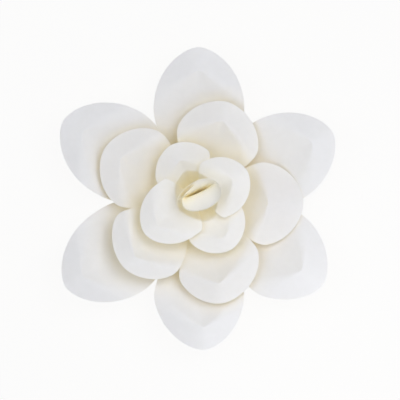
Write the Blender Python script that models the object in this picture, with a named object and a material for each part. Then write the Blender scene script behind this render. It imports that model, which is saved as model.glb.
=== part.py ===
"""Giant paper flower lying on its back, face up.

Three layers of folded card petals and one rolled centre petal are glued, tab over tab, on a round card disc.
Every petal is one sheet: a flat tab at the middle of the flower, a cupped wall, and a rim that is folded back
over two creases which leave a pinched point (the peak) near the tip.

Frame: origin at the middle of the back of the disc, +Z out of the flower's face, +Y to the top petal.
Units are metres.
"""

import math
from dataclasses import dataclass

import bpy
import bmesh
import numpy as np

MM = 0.001

# Card and glue stack
CARD = 0.35 * MM             # thickness of the petals' card
GLUE_GAP = 0.35 * MM         # clear space left between two glued faces
STACK_STEP = CARD + GLUE_GAP # rise from one tab to the tab above it

# Base disc
DISC_RADIUS = 60 * MM
DISC_THICKNESS = 1.0 * MM
DISC_EDGE_BEVEL = 0.2 * MM
DISC_SIDES = 48

# Templates that the three rings of petals are cut from: the peak's distance from the middle of the ring, the rim
# from the peak to the tip, the greatest half-width, and the widest place's distance from the tip
OUTER_PEAK_RADIUS = 174 * MM
OUTER_RIM_DEPTH = 31 * MM
OUTER_HALF_WIDTH = 62 * MM
OUTER_BELLY = 83 * MM
MIDDLE_PEAK_RADIUS = 114 * MM
MIDDLE_RIM_DEPTH = 25 * MM
MIDDLE_HALF_WIDTH = 57 * MM
MIDDLE_BELLY = 57 * MM
INNER_PEAK_RADIUS = 60 * MM
INNER_RIM_DEPTH = 22 * MM
INNER_HALF_WIDTH = 42 * MM
INNER_BELLY = 45 * MM

# Steep walls of the inner cups, which stand round the bud
INNER_CENTRE = (-2 * MM, 4 * MM)  # middle of the inner ring and of the bud's foot
INNER_WALL_TOP = 37 * MM          # distance of a wall's upper edge from that middle
INNER_WALL_HEIGHT = 42 * MM
INNER_WALL_STEP = 8 * MM          # extra height of the walls that stand over their neighbours

# Folds round a peak
CREASE_ANGLE = math.radians(55)  # between a crease and the petal's middle line, seen from above
WIDE_CREASE = math.radians(72)   # the same on the petal whose creases lie almost in one line
VALLEY_SHARP = 1.2 * MM          # rounding of the middle fold at the peak
VALLEY_SPREAD = 0.22             # how fast the middle fold widens into the cup
RIDGE_ROUND = 7 * MM             # rounding of the rim's middle ridge
CREASE_SHARP = 0.35 * MM         # rounding of a crease at the peak
CREASE_SPREAD = 0.16             # how fast a crease softens away from the peak
BEND_ROUND = 6 * MM              # width of the bend where the flat tab turns up into the cup
WALL_ROUND = 3 * MM              # rounding of the bend between a steep wall and the strip above it

# Outline of a petal
ROUND_TIP = 0.5556        # 0.5 would be an ellipse, more is more pointed
POINTED_TIP = 0.59
SHOULDER_ROUND = 14 * MM  # rounding where the belly runs into the straight side

# Facets of a petal: rays from the peak, and rings along each ray
CUP_RAY_SHARES = (0.2, 0.45, 0.72, 1.0)         # between the end of the tab's bend and the crease
RIM_RAY_SHARES = (0.14, 0.30, 0.47, 0.65, 0.82)  # between the crease and the outward line
RING_SHARES = (0.10, 0.24, 0.40, 0.57, 0.75, 0.91)  # of a ray that meets no bend
CUP_RING_SHARES = (0.12, 0.29, 0.49, 0.73)          # of a ray's stretch from the peak to the tab's bend
RING_LEAST = 0.8 * MM
PLACES_TRIED = 400

# Centre bud
BUD_HALF_LENGTH = 31 * MM
BUD_HALF_WIDTH = 19.5 * MM
BUD_RIM_CENTRE = (0.5 * MM, 4 * MM)
BUD_HEADING = math.radians(24)    # direction of the long axis
BUD_ROUNDER_END = 0.16            # how much fuller the right end is than the left
BUD_RIM_HEIGHT = 80 * MM
BUD_RIM_TILT = 3 * MM             # the rim's right end stands this much over its middle
BUD_WRAP = math.radians(452)      # how far the sheet is rolled round
BUD_TUCK_START = math.radians(290)
BUD_TUCK_END = math.radians(372)
BUD_TUCK = 0.24                   # share of the radius lost where the inner turn passes inside the outer one
BUD_TURN_GAP = 0.8 * MM           # least distance between the two turns' middles
BUD_THROAT_WIDTH = 2.0 * MM       # half-width of the pinched throat
BUD_THROAT_LENGTH = 6.4 * MM      # half-length of the throat, which is also the foot's
BUD_PINCH_DEPTH = 15 * MM         # how deep below the rim the sides close to the slit
BUD_TAPER_DEPTH = 30 * MM         # how deep below the rim the ends close
BUD_SLIT_SHIFT = 6 * MM           # the slit lies this far to the upper left of the rim's middle
BUD_TURN_SIDES = 40
BUD_DEPTH_SHARES = (0.0, 0.06, 0.13, 0.21, 0.33, 0.58, 1.0)

PAPER_WHITE = (0.93, 0.92, 0.90)
DISC_WHITE = (0.88, 0.87, 0.84)


@dataclass(frozen=True)
class Layer:
    """One ring of petals: its template, the bowl that its cups share, and their folds."""

    name: str
    peak_radius: float
    rim_depth: float
    half_width: float
    belly: float
    tip_power: float
    tabs_below: int        # tabs that lie under the lowest of this layer's
    tab_step: int          # tabs by which each level is raised, where the layer's own tabs overlap
    tab_start: float       # distance of the tabs' inner ends from the middle of the ring
    tab_half_width: float
    bowl_radius: float     # where the lowest petals' tabs turn up
    bend_step: float       # a petal over its neighbours turns up this much nearer the middle
    bowl_slope: float      # rise of the lowest petals' cups per metre outward
    slope_step: float      # extra rise of a petal over its neighbours
    lift: float            # extra height of a peak, from the pinch
    lift_length: float     # how far inward that lift reaches
    fold_length: float     # how far inward the middle fold reaches
    rim_fall: float        # fall of the rim along its middle, outward
    centre: tuple = (0.0, 0.0)
    wall_top: float = 0.0  # 0 where the cups have no steep wall
    wall_height: float = 0.0
    wall_step: float = 0.0


@dataclass(frozen=True)
class Petal:
    """One petal's place, and how far its hand-made form departs from its ring's template."""

    layer: Layer
    number: int
    heading: float        # direction of the middle line, degrees counter-clockwise from +X
    peak_share: float     # its peak's distance, as a share of the template's, and so on below
    rim_share: float
    left_share: float     # half-width on the counter-clockwise side
    right_share: float    # half-width on the clockwise side
    belly_share: float
    side_left: float      # angle of the left side, degrees from the middle line
    side_right: float     # angle of the right side
    level: int            # how many petals of its layer it passes over
    crease: float = CREASE_ANGLE

    @property
    def peak_radius(self):
        """Distance of the peak from the middle of the ring, seen from above."""
        return self.peak_share * self.layer.peak_radius

    @property
    def rim_depth(self):
        """Distance from the peak to the tip."""
        return self.rim_share * self.layer.rim_depth

    @property
    def half_left(self):
        """Greatest half-width on the counter-clockwise side."""
        return self.left_share * self.layer.half_width

    @property
    def half_right(self):
        """Greatest half-width on the clockwise side."""
        return self.right_share * self.layer.half_width

    @property
    def belly(self):
        """Distance from the tip inward to the widest place."""
        return self.belly_share * self.layer.belly


OUTER = Layer(
    "outer", OUTER_PEAK_RADIUS, OUTER_RIM_DEPTH, OUTER_HALF_WIDTH, OUTER_BELLY, POINTED_TIP,
    tabs_below=0, tab_step=0, tab_start=12 * MM, tab_half_width=5 * MM,
    bowl_radius=37 * MM, bend_step=3.5 * MM, bowl_slope=0.295, slope_step=0.025,
    lift=10 * MM, lift_length=24 * MM, fold_length=40 * MM, rim_fall=0.03,
)
MIDDLE = Layer(
    "middle", MIDDLE_PEAK_RADIUS, MIDDLE_RIM_DEPTH, MIDDLE_HALF_WIDTH, MIDDLE_BELLY, ROUND_TIP,
    tabs_below=1, tab_step=0, tab_start=9 * MM, tab_half_width=4.5 * MM,
    bowl_radius=26 * MM, bend_step=2.5 * MM, bowl_slope=0.51, slope_step=0.05,
    lift=6 * MM, lift_length=18 * MM, fold_length=30 * MM, rim_fall=0.02,
)
INNER = Layer(
    "inner", INNER_PEAK_RADIUS, INNER_RIM_DEPTH, INNER_HALF_WIDTH, INNER_BELLY, ROUND_TIP,
    tabs_below=2, tab_step=1, tab_start=4 * MM, tab_half_width=3 * MM,
    bowl_radius=15.2 * MM, bend_step=5.4 * MM, bowl_slope=0.5, slope_step=0.05,
    lift=4 * MM, lift_length=12 * MM, fold_length=16 * MM, rim_fall=0.10,
    centre=INNER_CENTRE, wall_top=INNER_WALL_TOP, wall_height=INNER_WALL_HEIGHT, wall_step=INNER_WALL_STEP,
)

PETALS = (
    Petal(OUTER, 1, 90, 0.994, 1.0, 0.98, 1.0, 1.0, 32, 32.5, 0),
    Petal(OUTER, 2, 26.3, 0.977, 1.0, 0.97, 1.0, 0.99, 32.5, 31.5, 1),
    Petal(OUTER, 3, -34.5, 0.966, 1.12, 1.0, 1.0, 0.99, 31.5, 27.5, 0),
    Petal(OUTER, 4, -88, 0.989, 0.984, 0.935, 1.05, 0.99, 27.5, 30.5, 1),
    Petal(OUTER, 5, -146.5, 1.072, 0.88, 1.0, 1.0, 1.035, 30.5, 34, 0),
    Petal(OUTER, 6, 150, 1.029, 0.984, 1.01, 1.01, 1.01, 34, 32, 1),
    Petal(MIDDLE, 1, 73, 0.96, 1.06, 0.98, 1.02, 1.02, 39, 40, 1),
    Petal(MIDDLE, 2, -3, 0.825, 1.9, 0.95, 1.02, 1.02, 38, 37, 0, WIDE_CREASE),
    Petal(MIDDLE, 3, -76, 1.018, 1.1, 1.07, 0.93, 1.02, 40, 31, 1),
    Petal(MIDDLE, 4, -138, 1.004, 0.84, 0.95, 1.05, 0.95, 36, 35, 2),
    Petal(MIDDLE, 5, 153, 1.031, 1.02, 1.01, 1.0, 1.0, 37, 38, 0),
    Petal(INNER, 1, 116, 0.872, 1.11, 1.0, 1.05, 1.02, 52, 47, 0),
    Petal(INNER, 2, 24.6, 0.862, 1.06, 0.92, 1.0, 0.98, 66, 70, 1),
    Petal(INNER, 3, -56.6, 1.1, 0.87, 1.0, 1.0, 0.98, 50, 50, 0),
    Petal(INNER, 4, -145, 1.093, 0.93, 0.99, 1.04, 1.16, 70, 70, 1),
)


def softened(value, rounding):
    """The positive part of value, with its corner at zero rounded over the given width."""
    part = np.clip(value + 0.5 * rounding, 0, rounding)
    return np.maximum(value - 0.5 * rounding, 0) + part * part / (2 * rounding)


def rounded_abs(value, rounding):
    """The size of value, with its corner at zero rounded and its zero kept."""
    return np.sqrt(value * value + rounding * rounding) - rounding


def lower_of(first, second, rounding):
    """The lower of two heights, with the line where they meet rounded."""
    near = np.maximum(rounding - np.abs(first - second), 0)
    return np.minimum(first, second) - near * near / (4 * rounding)


def cup_slope(petal):
    """Rise of a petal's cup per metre outward."""
    return petal.layer.bowl_slope + petal.level * petal.layer.slope_step


def fold_slopes(petal):
    """Slopes of the cup and the rim beside the middle line, so that the four faces round a peak unfold flat."""
    layer = petal.layer
    inward = cup_slope(petal) + layer.lift / layer.lift_length
    turn = 0.5 * (math.atan(inward) - math.atan(layer.rim_fall))
    crease_fall = math.cos(petal.crease) * math.tan(turn)
    cup_rise = (inward * math.cos(petal.crease) - crease_fall) / math.sin(petal.crease)
    rim_drop = (crease_fall + layer.rim_fall * math.cos(petal.crease)) / math.sin(petal.crease)
    return cup_rise, rim_drop


def bend_radius(petal):
    """Distance from the middle of the ring at which a petal's tab turns up."""
    return petal.layer.bowl_radius - petal.level * petal.layer.bend_step


def wall_top(petal):
    """Distance from the middle of the ring to the upper edge of a petal's steep wall."""
    return petal.layer.wall_top - petal.level * petal.layer.bend_step


def tab_height(petal):
    """Height of the middle of a petal's card in its flat tab."""
    tabs_below = petal.layer.tabs_below + petal.level * petal.layer.tab_step
    return DISC_THICKNESS + GLUE_GAP + 0.5 * CARD + tabs_below * STACK_STEP


def strip_distance(petal, along, across):
    """Distance outward, square to the nearer crease: it is the same all along a crease."""
    turn = math.pi / 2 - petal.crease
    return along * math.cos(turn) + across * math.sin(turn)


def wall_distance(petal, along, across):
    """Distance that a steep wall rises with: square to the crease in the middle, and round the ring beside it."""
    beside = across > along * math.tan(math.pi / 2 - petal.crease)
    return np.where(beside, np.hypot(along, across), strip_distance(petal, along, across))


def bowl_height(petal, radius):
    """Height of the middle of a petal's card in a plain cup, at a distance from the middle of the ring."""
    return tab_height(petal) + cup_slope(petal) * softened(radius - bend_radius(petal), BEND_ROUND)


def walled_height(petal, wall, strip):
    """Height in a cup whose steep wall bends to a flat strip beside each crease, at two distances outward."""
    rise = petal.layer.wall_height + petal.level * petal.layer.wall_step
    steepness = rise / (wall_top(petal) - bend_radius(petal))
    lower = steepness * softened(wall - bend_radius(petal), BEND_ROUND)
    upper = rise + cup_slope(petal) * (strip - wall_top(petal))
    return tab_height(petal) + lower_of(lower, upper, WALL_ROUND)


def petal_height(petal, along, across):
    """Height of the middle of a petal's card at places along and across its middle line."""
    layer = petal.layer
    cup_rise, rim_drop = fold_slopes(petal)
    inward = petal.peak_radius - along
    beside = rounded_abs(across, VALLEY_SHARP + VALLEY_SPREAD * np.maximum(inward, 0))
    if layer.wall_top:
        strip_peak = strip_distance(petal, petal.peak_radius, 0)
        peak = walled_height(petal, strip_peak, strip_peak) + layer.lift
        cup = walled_height(petal, wall_distance(petal, along, beside), strip_distance(petal, along, beside))
    else:
        peak = bowl_height(petal, petal.peak_radius) + layer.lift
        cup = bowl_height(petal, np.hypot(along, across))
        cup = cup + cup_rise * beside * np.exp(-np.maximum(inward, 0) / layer.fold_length)
    cup = cup + layer.lift * np.exp(-np.maximum(inward, -layer.lift_length) / layer.lift_length)
    rim = peak + layer.rim_fall * inward - rim_drop * rounded_abs(across, RIDGE_ROUND)
    return lower_of(cup, rim, CREASE_SHARP + CREASE_SPREAD * np.hypot(inward, across))


def petal_length(petal):
    """Length of a petal from its tip to the inner end of its tab, seen from above."""
    return petal.peak_radius + petal.rim_depth - petal.layer.tab_start


def half_width(petal, from_tip, half, side_degrees):
    """Half-width of the outline at a distance inward from the tip: an egg whose sides run in to the tab."""
    egg = half
    if from_tip < petal.belly:
        egg = half * (1 - (1 - from_tip / petal.belly) ** 2) ** petal.layer.tip_power
    from_tab = petal_length(petal) - from_tip
    side = petal.layer.tab_half_width + math.tan(math.radians(side_degrees)) * from_tab
    return lower_of(egg, side, SHOULDER_ROUND) if from_tip > petal.rim_depth else egg


def ray_reach(petal, turn, half, side_degrees):
    """Distance from the peak to the outline, along a ray turned from the inward line."""
    length = petal_length(petal)
    if turn == 0:
        return length - petal.rim_depth
    if turn == math.pi:
        return petal.rim_depth
    near, far = 0.0, 2 * length
    for _ in range(50):
        middle = 0.5 * (near + far)
        from_tip = petal.rim_depth + middle * math.cos(turn)
        inside = 0 < from_tip < length
        inside = inside and middle * math.sin(turn) < half_width(petal, from_tip, half, side_degrees)
        near, far = (middle, far) if inside else (near, middle)
    return near


def ray_fan(petal, side_degrees):
    """Angles of one side's rays: to the tab's corner, to where the side bends up, over the cup and round the rim."""
    layer = petal.layer
    side = math.radians(side_degrees)
    flat = bend_radius(petal) - layer.tab_start
    corner = math.atan2(layer.tab_half_width, petal.peak_radius - layer.tab_start)
    bend_across = layer.tab_half_width + flat * math.sin(side)
    bend_along = layer.tab_start + flat * math.cos(side)
    bend = math.atan2(bend_across, petal.peak_radius - bend_along)
    cup = [bend + share * (petal.crease - bend) for share in CUP_RAY_SHARES]
    rim = [petal.crease + share * (math.pi - petal.crease) for share in RIM_RAY_SHARES]
    return [corner, bend, *cup, *rim]


def first_within(petal, turn, distance):
    """How far along a ray the distance that the cup rises with first falls below a value, or infinity."""
    places = np.linspace(0, petal.peak_radius, PLACES_TRIED)
    along, across = petal.peak_radius - places * math.cos(turn), places * math.sin(turn)
    outward = wall_distance(petal, along, across) if petal.layer.wall_top else np.hypot(along, across)
    within = outward < distance
    return places[np.argmax(within)] if within.any() else math.inf


def ring_places(petal, turn, reach):
    """Distances of a ray's facet corners from the peak, with corners where the card bends."""
    bend_start = first_within(petal, turn, bend_radius(petal) + 0.5 * BEND_ROUND)
    if turn >= petal.crease or (bend_start > reach and not petal.layer.wall_top):
        return [share * reach for share in RING_SHARES] + [reach]
    bend_end = first_within(petal, turn, bend_radius(petal) - 0.5 * BEND_ROUND)
    if petal.layer.wall_top:
        top = first_within(petal, turn, wall_top(petal))
        wall = (top - 0.5 * WALL_ROUND, top + 0.5 * WALL_ROUND, 0.5 * (top + bend_start))
        marks = (0.5 * top, *wall, bend_start, bend_end)
    else:
        marks = (*(share * bend_start for share in CUP_RING_SHARES), bend_start, bend_end)
    places = [0.0]
    for number, mark in enumerate(marks):
        left = len(marks) + 1 - number
        fits = places[-1] + RING_LEAST < mark < reach - left * RING_LEAST
        places.append(mark if fits else places[-1] + (reach - places[-1]) / left)
    return places[1:] + [reach]


def new_object(name, mesh, material):
    """Links a mesh to the scene as a named object with its material."""
    mesh.materials.append(material)
    made = bpy.data.objects.new(name, mesh)
    bpy.context.collection.objects.link(made)
    return made


def card_material(name, colour, roughness):
    """Plain matt card."""
    material = bpy.data.materials.new(name)
    material.use_nodes = True
    shader = material.node_tree.nodes["Principled BSDF"]
    shader.inputs["Base Color"].default_value = (*colour, 1)
    shader.inputs["Roughness"].default_value = roughness
    shader.inputs["Metallic"].default_value = 0
    return material


def give_thickness(made, thickness):
    """Turns a sheet into a closed body, half of its thickness to each side."""
    solid = made.modifiers.new("Card", "SOLIDIFY")
    solid.thickness = thickness
    solid.offset = 0
    solid.use_even_offset = True
    solid.use_quality_normals = True


def build_petal(petal, material):
    """One petal: a fan of facets round its peak, with rays along the folds."""
    heading = math.radians(petal.heading)
    centre = np.array(petal.layer.centre)
    outward = np.array((math.cos(heading), math.sin(heading)))
    leftward = np.array((-math.sin(heading), math.cos(heading)))
    rays = [(0.0, 1)] + [(turn, 1) for turn in ray_fan(petal, petal.side_left)]
    rays += [(math.pi, 1)] + [(turn, -1) for turn in reversed(ray_fan(petal, petal.side_right))]
    shape = bmesh.new()

    def corner(along, across):
        x, y = centre + along * outward + across * leftward
        return shape.verts.new((x, y, petal_height(petal, along, abs(across))))

    peak = corner(petal.peak_radius, 0.0)
    lines = []
    for turn, side in rays:
        half = petal.half_left if side > 0 else petal.half_right
        side_degrees = petal.side_left if side > 0 else petal.side_right
        places = ring_places(petal, turn, ray_reach(petal, turn, half, side_degrees))
        along = [petal.peak_radius - place * math.cos(turn) for place in places]
        across = [side * place * math.sin(turn) for place in places]
        lines.append([corner(*pair) for pair in zip(along, across)])
    for line, after in zip(lines, lines[1:] + lines[:1]):
        shape.faces.new((peak, after[0], line[0]))
        for k in range(len(line) - 1):
            shape.faces.new((line[k], after[k], after[k + 1], line[k + 1]))
    bmesh.ops.triangulate(shape, faces=shape.faces)
    name = f"{petal.layer.name}_petal_{petal.number}"
    mesh = bpy.data.meshes.new(name)
    shape.to_mesh(mesh)
    shape.free()
    made = new_object(name, mesh, material)
    give_thickness(made, CARD)
    return made


def bud_point(turned, depth_share, foot_height):
    """A point of the rolled sheet: turned clockwise from the left end, at a share of the depth below the rim."""
    part = min(1.0, max(0.0, (turned - BUD_TUCK_START) / (BUD_TUCK_END - BUD_TUCK_START)))
    inside = part * part * (3 - 2 * part)
    long_share = -math.cos(turned)
    side_share = math.sin(turned) * (1 + BUD_ROUNDER_END * long_share)
    rim = BUD_RIM_HEIGHT + BUD_RIM_TILT * long_share * (1 - BUD_TUCK * inside)
    depth = (rim - foot_height) * depth_share
    pinch = math.exp(-((depth / BUD_PINCH_DEPTH) ** 2))
    taper = math.exp(-((depth / BUD_TAPER_DEPTH) ** 2))
    length = BUD_THROAT_LENGTH + (BUD_HALF_LENGTH - BUD_THROAT_LENGTH) * taper
    width = BUD_THROAT_WIDTH + (BUD_HALF_WIDTH - BUD_THROAT_WIDTH) * pinch
    length -= inside * max(BUD_TUCK * length, BUD_TURN_GAP)
    width -= inside * max(BUD_TUCK * width, BUD_TURN_GAP)
    centre_share = 1 - depth_share
    u = length * long_share
    v = width * side_share + BUD_SLIT_SHIFT * (1 - pinch) * centre_share
    x = BUD_RIM_CENTRE[0] * centre_share + INNER_CENTRE[0] * depth_share
    y = BUD_RIM_CENTRE[1] * centre_share + INNER_CENTRE[1] * depth_share
    x += u * math.cos(BUD_HEADING) - v * math.sin(BUD_HEADING)
    y += u * math.sin(BUD_HEADING) + v * math.cos(BUD_HEADING)
    return x, y, rim - depth


def build_bud(material):
    """The centre petal, rolled a turn and a quarter and pinched to a slit, as one sheet."""
    foot = DISC_THICKNESS + GLUE_GAP + (INNER.tabs_below + INNER.tab_step + 1) * STACK_STEP
    shape = bmesh.new()
    columns = []
    for i in range(BUD_TURN_SIDES + 1):
        turned = BUD_WRAP * i / BUD_TURN_SIDES
        columns.append([shape.verts.new(bud_point(turned, share, foot)) for share in BUD_DEPTH_SHARES])
    for left, right in zip(columns, columns[1:]):
        for k in range(len(BUD_DEPTH_SHARES) - 1):
            shape.faces.new((left[k], right[k], right[k + 1], left[k + 1]))
    bmesh.ops.triangulate(shape, faces=shape.faces)
    mesh = bpy.data.meshes.new("centre_bud")
    shape.to_mesh(mesh)
    shape.free()
    made = new_object("centre_bud", mesh, material)
    give_thickness(made, CARD)
    return made


def build_disc(material):
    """The round card disc that the tabs are glued to, with its cut edge eased."""
    shape = bmesh.new()
    bmesh.ops.create_cone(
        shape, cap_ends=True, segments=DISC_SIDES,
        radius1=DISC_RADIUS, radius2=DISC_RADIUS, depth=DISC_THICKNESS,
    )
    bmesh.ops.translate(shape, verts=shape.verts, vec=(0, 0, DISC_THICKNESS / 2))
    cut_edges = [edge for edge in shape.edges if abs(edge.verts[0].co.z - edge.verts[1].co.z) < 0.1 * DISC_THICKNESS]
    bmesh.ops.bevel(shape, geom=cut_edges, offset=DISC_EDGE_BEVEL, segments=1, affect="EDGES")
    mesh = bpy.data.meshes.new("base_disc")
    shape.to_mesh(mesh)
    shape.free()
    return new_object("base_disc", mesh, material)


def main():
    """Builds the flower from the disc up."""
    for old in list(bpy.data.objects):
        bpy.data.objects.remove(old, do_unlink=True)
    build_disc(card_material("disc_card", DISC_WHITE, 0.7))
    for petal in PETALS:
        build_petal(petal, card_material(f"{petal.layer.name}_card_{petal.number}", PAPER_WHITE, 0.6))
    build_bud(card_material("bud_card", PAPER_WHITE, 0.6))


main()
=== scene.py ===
"""Giant paper flower: fifteen folded card petals and a rolled centre bud on a round card disc.

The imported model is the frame. Every petal and the bud are modelled again here as fine sheets of card that
take the place of their coarse solids, and the disc keeps its solid and gets its board finish. The walls
round the bud, its slit and the rise of three middle petals differ a little from those of the solids.
Lengths are in metres. The flower lies on its back, face up, and the camera looks straight down on it.
"""

from __future__ import annotations

import logging
import math
from dataclasses import dataclass
from enum import Enum

import bpy
import numpy as np
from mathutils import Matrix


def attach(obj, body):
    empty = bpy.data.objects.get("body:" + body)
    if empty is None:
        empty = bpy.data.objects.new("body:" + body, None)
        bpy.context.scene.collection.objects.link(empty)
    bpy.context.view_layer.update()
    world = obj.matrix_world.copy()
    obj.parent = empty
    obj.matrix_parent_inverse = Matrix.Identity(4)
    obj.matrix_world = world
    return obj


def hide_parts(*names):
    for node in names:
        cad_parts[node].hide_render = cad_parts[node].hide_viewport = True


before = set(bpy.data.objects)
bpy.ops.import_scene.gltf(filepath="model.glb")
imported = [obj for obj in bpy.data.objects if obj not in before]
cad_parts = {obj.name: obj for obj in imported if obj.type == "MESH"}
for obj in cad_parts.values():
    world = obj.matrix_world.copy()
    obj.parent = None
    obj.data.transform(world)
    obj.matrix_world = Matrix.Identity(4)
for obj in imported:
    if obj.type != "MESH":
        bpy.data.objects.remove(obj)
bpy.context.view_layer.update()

LOG = logging.getLogger("paper_flower")
MM = 0.001
BODY = "root"

# Card and glue stack, as in the solids
CARD = 0.35 * MM
GLUE_GAP = 0.35 * MM
STACK_STEP = CARD + GLUE_GAP
DISC_THICKNESS = 1.0 * MM

# Closing and shading a sheet
SEAM = 0.01 * MM
SMOOTH_ANGLE = math.radians(40)

# Folds round a peak
CREASE_ANGLE = math.radians(55)
WIDE_CREASE = math.radians(72)
VALLEY_SHARP = 1.2 * MM
VALLEY_SPREAD = 0.22
RIDGE_ROUND = 7 * MM
CREASE_SHARP = 0.35 * MM
CREASE_SPREAD = 0.16
BEND_ROUND = 6 * MM
WALL_ROUND = 3 * MM

# Outline of a petal
ROUND_TIP = 0.5556
POINTED_TIP = 0.59
SHOULDER_ROUND = 14 * MM

# White card passes light on from sheet to sheet many times before it fades
CARD_BOUNCES = 24

# Photograph's frame
PHOTO_SIDE_PX = 400
MM_PER_PX = 1.344
FLOWER_CENTRE_PX = (198.5, 199.0)


class Side(Enum):
    """The two sides of a petal's middle line, seen from above with the tip outward."""

    LEFT = 1
    RIGHT = -1


def linear(hex_colour: str) -> tuple[float, float, float, float]:
    """Turns an sRGB hex colour to linear red, green, blue and alpha.

    Args:
        hex_colour: Six hex digits, such as "f4f1ea".

    Returns:
        The colour in linear light, with alpha 1.
    """
    shares = [int(hex_colour[i:i + 2], 16) / 255 for i in (0, 2, 4)]
    red, green, blue = (c / 12.92 if c <= 0.04045 else ((c + 0.055) / 1.055) ** 2.4 for c in shares)
    return red, green, blue, 1.0


def add_node(
    tree: bpy.types.NodeTree, kind: str, settings: dict | None = None, links: dict | None = None,
) -> bpy.types.Node:
    """Adds a node with its settings and links.

    Args:
        tree: The node tree to add to.
        kind: The node's type name.
        settings: Attributes by name; a name that is an input socket sets that socket's value.
        links: Output sockets to link, by the name or number of the input that each goes to.

    Returns:
        The new node.
    """
    node = tree.nodes.new(kind)
    for name, value in (settings or {}).items():
        if name in node.inputs:
            node.inputs[name].default_value = value
        else:
            setattr(node, name, value)
    for name, output in (links or {}).items():
        tree.links.new(output, node.inputs[name])
    return node


def deselect_all() -> None:
    """Leaves object mode with nothing selected."""
    if bpy.context.object and bpy.context.object.mode != "OBJECT":
        bpy.ops.object.mode_set(mode="OBJECT")
    bpy.ops.object.select_all(action="DESELECT")


def eased_part(value: np.ndarray, width: float) -> np.ndarray:
    """The positive part of a value, with its corner at zero rounded over a width."""
    part = np.clip(value + 0.5 * width, 0, width)
    return np.maximum(value - 0.5 * width, 0) + part * part / (2 * width)


def eased_size(value: np.ndarray, rounding: np.ndarray | float) -> np.ndarray:
    """The size of a value, with its corner at zero rounded and its zero kept."""
    return np.sqrt(value * value + rounding * rounding) - rounding


def lower_of(first: np.ndarray, second: np.ndarray, rounding: np.ndarray | float) -> np.ndarray:
    """The lower of two heights, with the line where they meet rounded."""
    near = np.maximum(rounding - np.abs(first - second), 0)
    return np.minimum(first, second) - near * near / (4 * rounding)


@dataclass(frozen=True)
class CardFinish:
    """Uncoated white cover card, calendered smooth.

    To the eye it is matt, with faintly mottled fibre. Light that it bounces on to other sheets takes a
    painted warm shade, so the recesses and shadows between sheets come out warm.

    Attributes:
        name: The material's name.
        face: sRGB colour of the card's face.
        shade: sRGB colour of its slightly darker fibre clumps.
        painted_shade_colour: sRGB colour given to light that bounces off the card on to another sheet:
            painted warm shade for the recesses and shadows, not the card's own colour.
        roughness: Roughness of the face.
        clump: Size of the fibre clumps.
        fibre: Width of the fibre grain. Real fibres are 0.03 mm wide, and they are drawn coarser to show.
        relief: Height of the grain.
        glow: Share of the light that wanders through the card and doesn't bounce off its face.
        glow_reach: How far it wanders, in thicknesses of the card.
        ior: Index of refraction of the sized surface.
        sheen: Level of the faint sheen.
    """

    name: str
    face: str
    shade: str
    painted_shade_colour: str
    roughness: float = 0.62
    clump: float = 9 * MM
    fibre: float = 0.7 * MM
    relief: float = 0.03 * MM
    glow: float = 1.0
    glow_reach: float = 1.6
    ior: float = 1.47
    sheen: float = 0.25

    CLUMP_DETAIL = 3.0
    CLUMP_ROUGHNESS = 0.6
    CLUMP_RANGE = (0.35, 0.7)  # noise that gives the plain face and the full shade
    GRAIN_DETAIL = 4.0
    GRAIN_ROUGHNESS = 0.65
    GRAIN_TWIST = 0.6
    ROUGHNESS_SPREAD = 0.06
    RELIEF_STRENGTH = 0.5
    MIX_FIRST, MIX_SECOND, MIX_OUT = 6, 7, 2  # a Mix node's colour sockets

    def make(self) -> bpy.types.Material:
        """Builds the material.

        Returns:
            The card material.
        """
        material = bpy.data.materials.new(self.name)
        material.use_nodes = True
        tree = material.node_tree
        shader = tree.nodes["Principled BSDF"]
        shader.inputs["IOR"].default_value = self.ior
        shader.inputs["Specular IOR Level"].default_value = self.sheen
        shader.inputs["Subsurface Weight"].default_value = self.glow
        shader.inputs["Subsurface Radius"].default_value = (self.glow_reach,) * 3
        shader.inputs["Subsurface Scale"].default_value = CARD
        place = add_node(tree, "ShaderNodeTexCoord")
        clumps = add_node(
            tree, "ShaderNodeTexNoise",
            {"Scale": 1 / self.clump, "Detail": self.CLUMP_DETAIL, "Roughness": self.CLUMP_ROUGHNESS},
            {"Vector": place.outputs["Object"]},
        )
        plain, full = self.CLUMP_RANGE
        spread = add_node(
            tree, "ShaderNodeMapRange",
            {"From Min": plain, "From Max": full}, {"Value": clumps.outputs["Fac"]},
        )
        colour = add_node(
            tree, "ShaderNodeMix",
            {"data_type": "RGBA"}, {"Factor": spread.outputs["Result"]},
        )
        colour.inputs[self.MIX_FIRST].default_value = linear(self.face)
        colour.inputs[self.MIX_SECOND].default_value = linear(self.shade)
        # Painted warm shade: light bounced off the card takes the third colour instead of the face's, so
        # recesses and shadows between sheets come out warm
        path = add_node(tree, "ShaderNodeLightPath")
        painted_shade_mix = add_node(
            tree, "ShaderNodeMix",
            {"data_type": "RGBA"},
            {"Factor": path.outputs["Is Diffuse Ray"], self.MIX_FIRST: colour.outputs[self.MIX_OUT]},
        )
        painted_shade_mix.inputs[self.MIX_SECOND].default_value = linear(self.painted_shade_colour)
        tree.links.new(painted_shade_mix.outputs[self.MIX_OUT], shader.inputs["Base Color"])
        grain = add_node(
            tree, "ShaderNodeTexNoise",
            {
                "Scale": 1 / self.fibre, "Detail": self.GRAIN_DETAIL,
                "Roughness": self.GRAIN_ROUGHNESS, "Distortion": self.GRAIN_TWIST,
            },
            {"Vector": place.outputs["Object"]},
        )
        smoothest, roughest = self.roughness - self.ROUGHNESS_SPREAD, self.roughness + self.ROUGHNESS_SPREAD
        rough = add_node(
            tree, "ShaderNodeMapRange",
            {"To Min": smoothest, "To Max": roughest}, {"Value": grain.outputs["Fac"]},
        )
        tree.links.new(rough.outputs["Result"], shader.inputs["Roughness"])
        bump = add_node(
            tree, "ShaderNodeBump",
            {"Strength": self.RELIEF_STRENGTH, "Distance": self.relief}, {"Height": grain.outputs["Fac"]},
        )
        tree.links.new(bump.outputs["Normal"], shader.inputs["Normal"])
        return material


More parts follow.
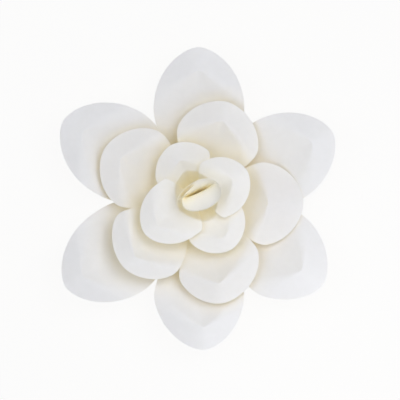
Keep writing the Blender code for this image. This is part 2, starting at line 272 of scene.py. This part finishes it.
@dataclass(frozen=True)
class Ring:
    """One ring of petals: its template, the bowl that its cups share, and their folds.

    Attributes:
        name: The ring's name, which its nodes' names start with.
        peak_radius: Distance of a template's peak from the middle of the ring, seen from above.
        rim_depth: Distance from the peak to the tip.
        half_width: Greatest half-width.
        belly: Distance from the tip inward to the widest place.
        tip_power: Shape of the tip: 0.5 would be an ellipse, more is more pointed.
        tabs_below: Tabs that lie under the lowest of this ring's.
        tab_step: Tabs by which each level is raised, where the ring's own tabs overlap.
        tab_start: Distance of the tabs' inner ends from the middle of the ring.
        tab_half_width: Half-width of a tab there.
        bowl_radius: Distance at which the lowest petals' tabs turn up.
        bend_step: A petal over its neighbours turns up this much nearer the middle.
        bowl_slope: Rise of the lowest petals' cups per metre outward.
        slope_step: Extra rise of a petal over its neighbours.
        lift: Extra height of a peak, from the pinch.
        lift_length: How far inward that lift reaches.
        fold_length: How far inward the middle fold reaches.
        rim_fall: Fall of the rim along its middle, outward.
        centre: The middle of the ring.
        wall_top: Distance of a steep wall's upper edge, or 0 where the cups have no such wall.
        wall_height: Height of the wall.
        wall_step: Extra height of a wall that stands over its neighbours.
    """

    name: str
    peak_radius: float
    rim_depth: float
    half_width: float
    belly: float
    tip_power: float
    tabs_below: int
    tab_step: int
    tab_start: float
    tab_half_width: float
    bowl_radius: float
    bend_step: float
    bowl_slope: float
    slope_step: float
    lift: float
    lift_length: float
    fold_length: float
    rim_fall: float
    centre: tuple[float, float] = (0.0, 0.0)
    wall_top: float = 0.0
    wall_height: float = 0.0
    wall_step: float = 0.0

    @property
    def slot(self) -> str:
        """The record's material slot of the ring's petals."""
        return f"{self.name}_card"


@dataclass(frozen=True)
class FoldedPetal:
    """One petal: a sheet with a flat tab, a cupped wall and a rim folded back over two creases.

    Attributes:
        ring: The ring that the petal stands in.
        number: Its number in the ring.
        heading: Direction of its middle line, in degrees counter-clockwise from +X.
        peak_share: Its peak's distance, as a share of the template's, and so on below.
        rim_share: Share of the rim's depth.
        left_share: Share of the half-width on the counter-clockwise side.
        right_share: Share of the half-width on the clockwise side.
        belly_share: Share of the belly's distance.
        side_left: Angle of the left side to the middle line, in degrees.
        side_right: Angle of the right side.
        level: How many petals of its ring it passes over.
        crease: Angle between a crease and the middle line, in radians.
        slope_shift: Extra rise of its cup, per metre outward.
    """

    ring: Ring
    number: int
    heading: float
    peak_share: float
    rim_share: float
    left_share: float
    right_share: float
    belly_share: float
    side_left: float
    side_right: float
    level: int
    crease: float = CREASE_ANGLE
    slope_shift: float = 0.0

    CUP_RAYS = 34
    RIM_RAYS = 30
    RINGS = 46
    RING_POWER = 1.12  # above 1, the facets are finer near the peak
    LEAST_TURN = 1e-6  # a ray nearer the middle line than this runs along it
    HALVINGS = 40  # of the search for a ray's end

    @property
    def node(self) -> str:
        """The name of the solid that this petal stands for."""
        return f"{self.ring.name}_petal_{self.number}"

    @property
    def peak_radius(self) -> float:
        """Distance of the peak from the middle of the ring, seen from above."""
        return self.peak_share * self.ring.peak_radius

    @property
    def rim_depth(self) -> float:
        """Distance from the peak to the tip."""
        return self.rim_share * self.ring.rim_depth

    @property
    def belly(self) -> float:
        """Distance from the tip inward to the widest place."""
        return self.belly_share * self.ring.belly

    @property
    def length(self) -> float:
        """Length from the tip to the inner end of the tab, seen from above."""
        return self.peak_radius + self.rim_depth - self.ring.tab_start

    @property
    def cup_slope(self) -> float:
        """Rise of the cup per metre outward."""
        return self.ring.bowl_slope + self.level * self.ring.slope_step + self.slope_shift

    def fold_slopes(self) -> tuple[float, float]:
        """Slopes beside the middle line, so that the four faces round the peak unfold flat.

        Returns:
            The cup's rise and the rim's drop, per metre sideways.
        """
        inward = self.cup_slope + self.ring.lift / self.ring.lift_length
        turn = 0.5 * (math.atan(inward) - math.atan(self.ring.rim_fall))
        crease_fall = math.cos(self.crease) * math.tan(turn)
        cup_rise = (inward * math.cos(self.crease) - crease_fall) / math.sin(self.crease)
        rim_drop = (crease_fall + self.ring.rim_fall * math.cos(self.crease)) / math.sin(self.crease)
        return cup_rise, rim_drop

    @property
    def bend_radius(self) -> float:
        """Distance from the middle of the ring at which the tab turns up."""
        return self.ring.bowl_radius - self.level * self.ring.bend_step

    @property
    def wall_top(self) -> float:
        """Distance from the middle of the ring to the upper edge of the steep wall."""
        return self.ring.wall_top - self.level * self.ring.bend_step

    @property
    def tab_height(self) -> float:
        """Height of the middle of the card in the flat tab, over the back of the disc."""
        tabs_below = self.ring.tabs_below + self.level * self.ring.tab_step
        return DISC_THICKNESS + GLUE_GAP + 0.5 * CARD + tabs_below * STACK_STEP

    def strip_distance(self, along: np.ndarray | float, across: np.ndarray | float) -> np.ndarray | float:
        """Distance outward, square to the nearer crease: it is the same all along a crease."""
        turn = math.pi / 2 - self.crease
        return along * math.cos(turn) + across * math.sin(turn)

    def wall_distance(self, along: np.ndarray, across: np.ndarray) -> np.ndarray:
        """Distance that a steep wall rises with: square to the crease in the middle, round beside it."""
        beside = across > along * math.tan(math.pi / 2 - self.crease)
        return np.where(beside, np.hypot(along, across), self.strip_distance(along, across))

    def bowl_height(self, radius: np.ndarray | float) -> np.ndarray:
        """Height of the middle of the card in a plain cup, at a distance from the middle of the ring."""
        return self.tab_height + self.cup_slope * eased_part(radius - self.bend_radius, BEND_ROUND)

    def walled_height(self, wall: np.ndarray | float, strip: np.ndarray | float) -> np.ndarray:
        """Height in a cup whose steep wall bends to a flat strip beside each crease.

        Args:
            wall: Distance outward that the wall rises with.
            strip: Distance outward that the strip rises with.

        Returns:
            The height over the back of the disc.
        """
        rise = self.ring.wall_height + self.level * self.ring.wall_step
        steepness = rise / (self.wall_top - self.bend_radius)
        lower = steepness * eased_part(wall - self.bend_radius, BEND_ROUND)
        upper = rise + self.cup_slope * (strip - self.wall_top)
        return self.tab_height + lower_of(lower, upper, WALL_ROUND)

    def height(self, along: np.ndarray, across: np.ndarray) -> np.ndarray:
        """Height of the middle of the card.

        Args:
            along: Distances outward along the middle line, from the middle of the ring.
            across: Distances to either side of it.

        Returns:
            The heights over the back of the disc.
        """
        ring = self.ring
        cup_rise, rim_drop = self.fold_slopes()
        inward = self.peak_radius - along
        beside = eased_size(across, VALLEY_SHARP + VALLEY_SPREAD * np.maximum(inward, 0))
        if ring.wall_top:
            strip_peak = self.strip_distance(self.peak_radius, 0)
            peak = self.walled_height(strip_peak, strip_peak) + ring.lift
            cup = self.walled_height(self.wall_distance(along, beside), self.strip_distance(along, beside))
        else:
            peak = self.bowl_height(self.peak_radius) + ring.lift
            cup = self.bowl_height(np.hypot(along, across))
            cup = cup + cup_rise * beside * np.exp(-np.maximum(inward, 0) / ring.fold_length)
        cup = cup + ring.lift * np.exp(-np.maximum(inward, -ring.lift_length) / ring.lift_length)
        rim = peak + ring.rim_fall * inward - rim_drop * eased_size(across, RIDGE_ROUND)
        return lower_of(cup, rim, CREASE_SHARP + CREASE_SPREAD * np.hypot(inward, across))

    def half_width(self, from_tip: float, side: Side) -> float:
        """Half-width of the outline: an egg whose sides run in to the tab.

        Args:
            from_tip: Distance inward from the tip.
            side: The side that is asked for.

        Returns:
            The distance from the middle line to the edge.
        """
        half = self.ring.half_width * (self.left_share if side is Side.LEFT else self.right_share)
        angle = self.side_left if side is Side.LEFT else self.side_right
        egg = half
        if from_tip < self.belly:
            egg = half * (1 - (1 - from_tip / self.belly) ** 2) ** self.ring.tip_power
        if from_tip <= self.rim_depth:
            return egg
        straight = self.ring.tab_half_width + math.tan(math.radians(angle)) * (self.length - from_tip)
        return float(lower_of(egg, straight, SHOULDER_ROUND))

    def reach(self, turn: float, side: Side) -> float:
        """Distance from the peak to the outline.

        Args:
            turn: The ray's angle from the inward line, in radians.
            side: The side that the ray goes to.

        Returns:
            The length of the ray.
        """
        if turn < self.LEAST_TURN:
            return self.length - self.rim_depth
        if turn > math.pi - self.LEAST_TURN:
            return self.rim_depth
        near, far = 0.0, 2 * self.length
        for _ in range(self.HALVINGS):
            middle = 0.5 * (near + far)
            from_tip = self.rim_depth + middle * math.cos(turn)
            inside = 0 < from_tip < self.length
            inside = inside and middle * math.sin(turn) < self.half_width(from_tip, side)
            near, far = (middle, far) if inside else (near, middle)
        return near

    def rays(self) -> list[tuple[float, Side]]:
        """Lays out the rays in order round the peak, with rays exactly on the folds.

        Returns:
            Each ray's angle from the inward line, in radians, and its side.
        """
        cup = [self.crease * i / self.CUP_RAYS for i in range(self.CUP_RAYS)]
        rim = [self.crease + (math.pi - self.crease) * i / self.RIM_RAYS for i in range(self.RIM_RAYS + 1)]
        half = cup + rim
        left = [(angle, Side.LEFT) for angle in half]
        right = [(angle, Side.RIGHT) for angle in reversed(half[:-1])]
        return left + right

    def build(self) -> bpy.types.Object:
        """Models the sheet: a grid wrapped round the peak, raised to its height, closed and thickened.

        Returns:
            The petal's object, at the origin.
        """
        rays = self.rays()
        deselect_all()
        bpy.ops.mesh.primitive_grid_add(
            x_subdivisions=len(rays) - 1, y_subdivisions=self.RINGS, size=2, location=(0, 0, 0),
        )
        made = bpy.context.object
        made.name = made.data.name = f"card_{self.node}"
        flat = np.empty(3 * len(made.data.vertices))
        made.data.vertices.foreach_get("co", flat)
        grid = flat.reshape(-1, 3)
        ray_number = np.rint((grid[:, 0] + 1) / 2 * (len(rays) - 1)).astype(int)
        share = ((grid[:, 1] + 1) / 2) ** self.RING_POWER
        angles = np.array([angle for angle, _ in rays])
        reaches = np.array([self.reach(angle, side) for angle, side in rays])
        signs = np.array([side.value for _, side in rays])
        out = share * reaches[ray_number]
        along = self.peak_radius - out * np.cos(angles[ray_number])
        across = signs[ray_number] * out * np.sin(angles[ray_number])
        turn = math.radians(self.heading)
        points = np.stack(
            (
                self.ring.centre[0] + along * math.cos(turn) - across * math.sin(turn),
                self.ring.centre[1] + along * math.sin(turn) + across * math.cos(turn),
                self.height(along, across),
            ),
            axis=1,
        )
        made.data.vertices.foreach_set("co", points.ravel())
        made.data.update()
        return finish_sheet(made)

    def dress(self, made: bpy.types.Object, card: bpy.types.Material) -> None:
        """Gives the petal its card and its place in the frame.

        Args:
            made: The petal's object.
            card: The card material.
        """
        made.data.materials.clear()
        made.data.materials.append(card)
        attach(made, BODY)
        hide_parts(self.node)


def finish_sheet(made: bpy.types.Object) -> bpy.types.Object:
    """Closes a sheet's seams, gives it the card's thickness and shades it.

    Args:
        made: The sheet's object, active and selected.

    Returns:
        The same object.
    """
    bpy.ops.object.mode_set(mode="EDIT")
    bpy.ops.mesh.select_all(action="SELECT")
    bpy.ops.mesh.remove_doubles(threshold=SEAM)
    bpy.ops.mesh.normals_make_consistent(inside=False)
    bpy.ops.object.mode_set(mode="OBJECT")
    solid = made.modifiers.new("Card", "SOLIDIFY")
    solid.thickness = CARD
    solid.offset = 0
    solid.use_even_offset = True
    solid.use_quality_normals = True
    bpy.ops.object.modifier_apply(modifier=solid.name)
    bpy.ops.object.mode_set(mode="EDIT")
    bpy.ops.mesh.select_all(action="SELECT")
    bpy.ops.mesh.normals_make_consistent(inside=False)
    bpy.ops.object.mode_set(mode="OBJECT")
    bpy.ops.object.shade_smooth_by_angle(angle=SMOOTH_ANGLE)
    return made


@dataclass(frozen=True)
class RolledBud:
    """The centre petal: one sheet rolled a turn and a quarter, its almond-shaped rim over a pinched slit.

    Attributes:
        foot: Height of the foot over the back of the disc.
        foot_centre: The middle of the foot.
        half_length: Half-length of the rim.
        half_width: Half-width of the rim.
        rim_centre: The middle of the rim.
        heading: Direction of the long axis, in radians.
        rounder_end: How much fuller the right end is than the left.
        rim_height: Height of the rim's middle.
        rim_tilt: The rim's right end stands this much over its middle.
        wrap: How far the sheet is rolled round, in radians.
        tuck_start: Where the sheet starts to pass inside its first turn.
        tuck_end: Where it is all inside.
        tuck: Share of the radius that it loses there.
        turn_gap: Least distance between the middles of the two turns.
        throat_width: Half-width of the pinched throat.
        throat_length: Half-length of the throat.
        pinch_depth: How deep below the rim the sides close to the slit.
        taper_depth: How deep below the rim the ends close.
        slit_shift: The slit lies this far to the upper left of the rim's middle.
        slot: The record's material slot. It is not used here.
    """

    foot: float
    foot_centre: tuple[float, float]
    half_length: float = 31 * MM
    half_width: float = 19.5 * MM
    rim_centre: tuple[float, float] = (0.5 * MM, 4 * MM)
    heading: float = math.radians(24)
    rounder_end: float = 0.16
    rim_height: float = 80 * MM
    rim_tilt: float = 3 * MM
    wrap: float = math.radians(452)
    tuck_start: float = math.radians(290)
    tuck_end: float = math.radians(372)
    tuck: float = 0.24
    turn_gap: float = 0.8 * MM
    throat_width: float = 2.0 * MM
    throat_length: float = 6.4 * MM
    pinch_depth: float = 15 * MM
    taper_depth: float = 42 * MM
    slit_shift: float = 10 * MM
    slot: str = "bud_card"

    TURN_SIDES = 220
    DEPTH_RINGS = 60
    DEPTH_POWER = 1.6  # above 1, the facets are finer near the rim

    def points(self, turned: np.ndarray, depth_share: np.ndarray) -> np.ndarray:
        """Places of points of the rolled sheet.

        Args:
            turned: Angles clockwise from the left end, in radians.
            depth_share: Shares of the depth below the rim.

        Returns:
            One row of x, y and z for each point.
        """
        part = np.clip((turned - self.tuck_start) / (self.tuck_end - self.tuck_start), 0, 1)
        inside = part * part * (3 - 2 * part)
        long_share = -np.cos(turned)
        side_share = np.sin(turned) * (1 + self.rounder_end * long_share)
        rim = self.rim_height + self.rim_tilt * long_share * (1 - self.tuck * inside)
        depth = (rim - self.foot) * depth_share
        pinch = np.exp(-((depth / self.pinch_depth) ** 2))
        taper = np.exp(-((depth / self.taper_depth) ** 2))
        length = self.throat_length + (self.half_length - self.throat_length) * taper
        width = self.throat_width + (self.half_width - self.throat_width) * pinch
        length = length - inside * np.maximum(self.tuck * length, self.turn_gap)
        width = width - inside * np.maximum(self.tuck * width, self.turn_gap)
        centre_share = 1 - depth_share
        foot_x, foot_y = self.foot_centre
        u = length * long_share
        v = width * side_share + self.slit_shift * (1 - pinch) * centre_share
        cos, sin = math.cos(self.heading), math.sin(self.heading)
        x = self.rim_centre[0] * centre_share + foot_x * depth_share + u * cos - v * sin
        y = self.rim_centre[1] * centre_share + foot_y * depth_share + u * sin + v * cos
        return np.stack((x, y, rim - depth), axis=1)

    def build(self) -> bpy.types.Object:
        """Models the bud: a grid rolled up and then given its thickness.

        Returns:
            The bud's object, at the origin.
        """
        deselect_all()
        bpy.ops.mesh.primitive_grid_add(
            x_subdivisions=self.TURN_SIDES, y_subdivisions=self.DEPTH_RINGS, size=2, location=(0, 0, 0),
        )
        made = bpy.context.object
        made.name = made.data.name = "card_centre_bud"
        flat = np.empty(3 * len(made.data.vertices))
        made.data.vertices.foreach_get("co", flat)
        grid = flat.reshape(-1, 3)
        turned = (grid[:, 0] + 1) / 2 * self.wrap
        share = ((grid[:, 1] + 1) / 2) ** self.DEPTH_POWER
        made.data.vertices.foreach_set("co", self.points(turned, share).ravel())
        made.data.update()
        return finish_sheet(made)

    def dress(self, made: bpy.types.Object, card: bpy.types.Material) -> None:
        """Gives the bud its card and its place in the frame.

        Args:
            made: The bud's object.
            card: The card material.
        """
        made.data.materials.clear()
        made.data.materials.append(card)
        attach(made, BODY)
        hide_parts("centre_bud")


@dataclass(frozen=True)
class BaseDisc:
    """The round board disc under the tabs. Its solid is kept, and only its finish is given here.

    Attributes:
        board: The finish.
        node: The disc's node.
    """

    board: CardFinish
    node: str = "base_disc"

    def dress(self) -> None:
        """Gives the disc's solid its board."""
        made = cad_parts[self.node]
        made.data.materials.clear()
        made.data.materials.append(self.board.make())


@dataclass(frozen=True)
class SoftLamp:
    """One soft square lamp that faces a point of the flower.

    Attributes:
        name: The lamp's name.
        power: Its power, in watts.
        side: Side of its square face.
        azimuth: Direction that it stands in, in degrees counter-clockwise from +X.
        elevation: Its height over the floor, in degrees.
        distance: Its distance from the middle of the flower.
    """

    name: str
    power: float
    side: float
    azimuth: float
    elevation: float
    distance: float

    def light(self, colour: tuple[float, float, float]) -> None:
        """Adds the lamp.

        Args:
            colour: Its colour, in linear light.
        """
        data = bpy.data.lights.new(self.name, "AREA")
        data.shape = "SQUARE"
        data.size = self.side
        data.energy = self.power
        data.color = colour
        made = bpy.data.objects.new(self.name, data)
        azimuth, elevation = math.radians(self.azimuth), math.radians(self.elevation)
        made.location = (
            self.distance * math.cos(elevation) * math.cos(azimuth),
            self.distance * math.cos(elevation) * math.sin(azimuth),
            self.distance * math.sin(elevation),
        )
        made.rotation_euler = (0, math.pi / 2 - elevation, azimuth)
        made.visible_camera = False
        bpy.context.collection.objects.link(made)


@dataclass(frozen=True)
class Studio:
    """White floor, an even dome, soft lamps, and the camera straight above.

    Attributes:
        lamps: The soft lamps.
        camera_height: Height of the camera over the floor.
        sharp_height: Height at which one pixel of the photograph is MM_PER_PX.
        dome: Strength of the even light.
        tint: Colour of the dome and the lamps, in linear light: that of an overcast sky.
        floor_side: Side of the floor.
        floor_paint: sRGB colour of the floor.
        shadow_share: Share of the floor's own shading that the camera sees.
    """

    lamps: tuple[SoftLamp, ...]
    camera_height: float = 3.0
    sharp_height: float = 50 * MM
    dome: float = 0.16
    tint: tuple[float, float, float] = (0.915, 0.93, 1.0)
    floor_side: float = 8.0
    floor_paint: str = "f4efe3"
    shadow_share: float = 0.08

    SENSOR = 36.0  # width in millimetres
    FARTHEST = 50.0  # how far the camera sees

    def camera(self) -> None:
        """Puts the camera over the flower, framed as the photograph is."""
        data = bpy.data.cameras.new("photo_camera")
        data.sensor_width = self.SENSOR
        width = PHOTO_SIDE_PX * MM_PER_PX * MM
        data.lens = self.SENSOR * (self.camera_height - self.sharp_height) / width
        data.clip_end = self.FARTHEST
        made = bpy.data.objects.new("photo_camera", data)
        middle = PHOTO_SIDE_PX / 2
        right = (middle - FLOWER_CENTRE_PX[0]) * MM_PER_PX * MM
        up = (FLOWER_CENTRE_PX[1] - middle) * MM_PER_PX * MM
        made.location = (right, up, self.camera_height)
        bpy.context.collection.objects.link(made)
        bpy.context.scene.camera = made

    def surround(self) -> None:
        """Sets the even dome, which the camera sees as white."""
        world = bpy.data.worlds.new("white_studio")
        bpy.context.scene.world = world
        world.use_nodes = True
        tree = world.node_tree
        tree.nodes.clear()
        dome = add_node(tree, "ShaderNodeBackground", {"Color": (*self.tint, 1.0), "Strength": self.dome})
        white = add_node(tree, "ShaderNodeBackground", {"Color": (1, 1, 1, 1), "Strength": 1.0})
        mixed = add_node(
            tree, "ShaderNodeMixShader",
            links={0: self.seen_share(tree, 1.0), 1: dome.outputs[0], 2: white.outputs[0]},
        )
        add_node(tree, "ShaderNodeOutputWorld", links={"Surface": mixed.outputs[0]})

    def seen_share(self, tree: bpy.types.NodeTree, share: float) -> bpy.types.NodeSocket:
        """Adds the nodes that pick out what the camera sees, directly or in a reflection.

        Args:
            tree: The node tree to add to.
            share: The value that they give for such rays.

        Returns:
            The output socket, 0 for all other rays.
        """
        path = add_node(tree, "ShaderNodeLightPath")
        mirrored = add_node(
            tree, "ShaderNodeMath", {"operation": "MAXIMUM"},
            {0: path.outputs["Is Glossy Ray"], 1: path.outputs["Is Transmission Ray"]},
        )
        seen = add_node(
            tree, "ShaderNodeMath",
            {"operation": "MAXIMUM"}, {0: path.outputs["Is Camera Ray"], 1: mirrored.outputs[0]},
        )
        scaled = add_node(tree, "ShaderNodeMath", {"operation": "MULTIPLY"}, {0: seen.outputs[0]})
        scaled.inputs[1].default_value = share
        return scaled.outputs[0]

    def floor(self) -> None:
        """Lays the pale floor: matt white with a faint shadow, and plain white to the camera elsewhere."""
        deselect_all()
        bpy.ops.mesh.primitive_plane_add(size=self.floor_side, location=(0, 0, 0))
        made = bpy.context.object
        made.name = "studio_floor"
        material = bpy.data.materials.new("floor_paint")
        material.use_nodes = True
        tree = material.node_tree
        tree.nodes.clear()
        paint = add_node(tree, "ShaderNodeBsdfDiffuse", {"Color": linear(self.floor_paint)})
        white = add_node(tree, "ShaderNodeEmission", {"Color": (1, 1, 1, 1), "Strength": 1.0})
        whitened = self.seen_share(tree, 1 - self.shadow_share)
        seen = add_node(
            tree, "ShaderNodeMixShader", links={0: whitened, 1: paint.outputs[0], 2: white.outputs[0]},
        )
        add_node(tree, "ShaderNodeOutputMaterial", links={"Surface": seen.outputs[0]})
        made.data.materials.append(material)


OUTER = Ring(
    name="outer", peak_radius=174 * MM, rim_depth=31 * MM, half_width=62 * MM,
    belly=83 * MM, tip_power=POINTED_TIP,
    tabs_below=0, tab_step=0, tab_start=12 * MM, tab_half_width=5 * MM,
    bowl_radius=37 * MM, bend_step=3.5 * MM, bowl_slope=0.295, slope_step=0.025,
    lift=10 * MM, lift_length=24 * MM, fold_length=40 * MM, rim_fall=0.03,
)
MIDDLE = Ring(
    name="middle", peak_radius=114 * MM, rim_depth=25 * MM, half_width=57 * MM,
    belly=57 * MM, tip_power=ROUND_TIP,
    tabs_below=1, tab_step=0, tab_start=9 * MM, tab_half_width=4.5 * MM,
    bowl_radius=26 * MM, bend_step=2.5 * MM, bowl_slope=0.51, slope_step=0.05,
    lift=6 * MM, lift_length=18 * MM, fold_length=30 * MM, rim_fall=0.02,
)
INNER = Ring(
    name="inner", peak_radius=60 * MM, rim_depth=22 * MM, half_width=42 * MM,
    belly=45 * MM, tip_power=ROUND_TIP,
    tabs_below=2, tab_step=1, tab_start=4 * MM, tab_half_width=3 * MM,
    bowl_radius=15.2 * MM, bend_step=5.4 * MM, bowl_slope=0.40, slope_step=0.05,
    lift=4 * MM, lift_length=12 * MM, fold_length=16 * MM, rim_fall=0.10,
    centre=(-2 * MM, 4 * MM), wall_top=30 * MM, wall_height=42 * MM, wall_step=8 * MM,
)

# In each row: ring, number and heading; shares of the template's peak, rim, left half, right half and
# belly; angles of the left and right sides; level
PETALS = (
    FoldedPetal(OUTER, 1, 90, 0.994, 1.0, 0.98, 1.0, 1.0, 32, 32.5, 0),
    FoldedPetal(OUTER, 2, 26.3, 0.977, 1.0, 0.97, 1.0, 0.99, 32.5, 31.5, 1),
    FoldedPetal(OUTER, 3, -34.5, 0.966, 1.12, 1.0, 1.0, 0.99, 31.5, 27.5, 0),
    FoldedPetal(OUTER, 4, -88, 0.989, 0.984, 0.935, 1.05, 0.99, 27.5, 30.5, 1),
    FoldedPetal(OUTER, 5, -146.5, 1.072, 0.88, 1.0, 1.0, 1.035, 30.5, 34, 0),
    FoldedPetal(OUTER, 6, 150, 1.029, 0.984, 1.01, 1.01, 1.01, 34, 32, 1),
    FoldedPetal(MIDDLE, 1, 73, 0.96, 1.06, 0.98, 1.02, 1.02, 39, 40, 1, slope_shift=-0.05),
    FoldedPetal(MIDDLE, 2, -3, 0.825, 1.9, 0.95, 1.02, 1.02, 38, 37, 0, WIDE_CREASE, slope_shift=0.008),
    FoldedPetal(MIDDLE, 3, -76, 1.018, 1.1, 1.07, 0.93, 1.02, 40, 31, 1, slope_shift=-0.025),
    FoldedPetal(MIDDLE, 4, -138, 1.004, 0.84, 0.95, 1.05, 0.95, 36, 35, 2),
    FoldedPetal(MIDDLE, 5, 153, 1.031, 1.02, 1.01, 1.0, 1.0, 37, 38, 0),
    FoldedPetal(INNER, 1, 116, 0.872, 1.11, 1.0, 1.05, 1.02, 52, 47, 0),
    FoldedPetal(INNER, 2, 24.6, 0.862, 1.06, 0.92, 1.0, 0.98, 66, 70, 1),
    FoldedPetal(INNER, 3, -56.6, 1.1, 0.87, 1.0, 1.0, 0.98, 50, 50, 0),
    FoldedPetal(INNER, 4, -145, 1.093, 0.93, 0.99, 1.04, 1.16, 70, 70, 1),
)

# The third colour of each finish is painted warm shade, given only to light bounced between sheets
COVER_CARD = CardFinish("white_cover_card", face="fbf8f3", shade="f9f6f1", painted_shade_colour="fbf6de")
# Mount board isn't calendered: to the eye it is duller than the card, creamier, and its grain is deeper
DISC_BOARD = CardFinish(
    # Its third colour is painted warm shade as well, for light bounced off the board
    "white_mount_board", face="eeeae0", shade="e8e3d8", painted_shade_colour="eee3c6",
    roughness=0.75, relief=0.05 * MM,
)

LAMPS = (
    SoftLamp(name="right_lamp", power=7.9, side=1.0, azimuth=35, elevation=62, distance=1.3),
    SoftLamp(name="left_lamp", power=5.2, side=1.0, azimuth=176, elevation=58, distance=1.3),
    SoftLamp(name="low_lamp", power=1.5, side=0.6, azimuth=-80, elevation=22, distance=1.1),
    SoftLamp(name="near_fill", power=0.40, side=0.3, azimuth=-50, elevation=44, distance=0.5),
)


def main() -> None:
    """Builds the flower, the studio and the camera, and reports each piece."""
    logging.basicConfig(level=logging.INFO, format="%(name)s: %(message)s")
    bpy.context.scene.view_settings.view_transform = "Standard"
    bpy.context.scene.cycles.diffuse_bounces = CARD_BOUNCES
    bpy.context.scene.cycles.max_bounces = CARD_BOUNCES
    card = COVER_CARD.make()
    for petal in PETALS:
        made = petal.build()
        petal.dress(made, card)
        LOG.info("%s has %d faces", made.name, len(made.data.polygons))
    foot = DISC_THICKNESS + GLUE_GAP + (INNER.tabs_below + INNER.tab_step + 1) * STACK_STEP
    bud = RolledBud(foot, INNER.centre)
    made = bud.build()
    bud.dress(made, card)
    LOG.info("%s has %d faces", made.name, len(made.data.polygons))
    BaseDisc(DISC_BOARD).dress()
    studio = Studio(LAMPS)
    studio.camera()
    for lamp in studio.lamps:
        lamp.light(studio.tint)
    studio.surround()
    studio.floor()


if __name__ == "__main__":
    main()
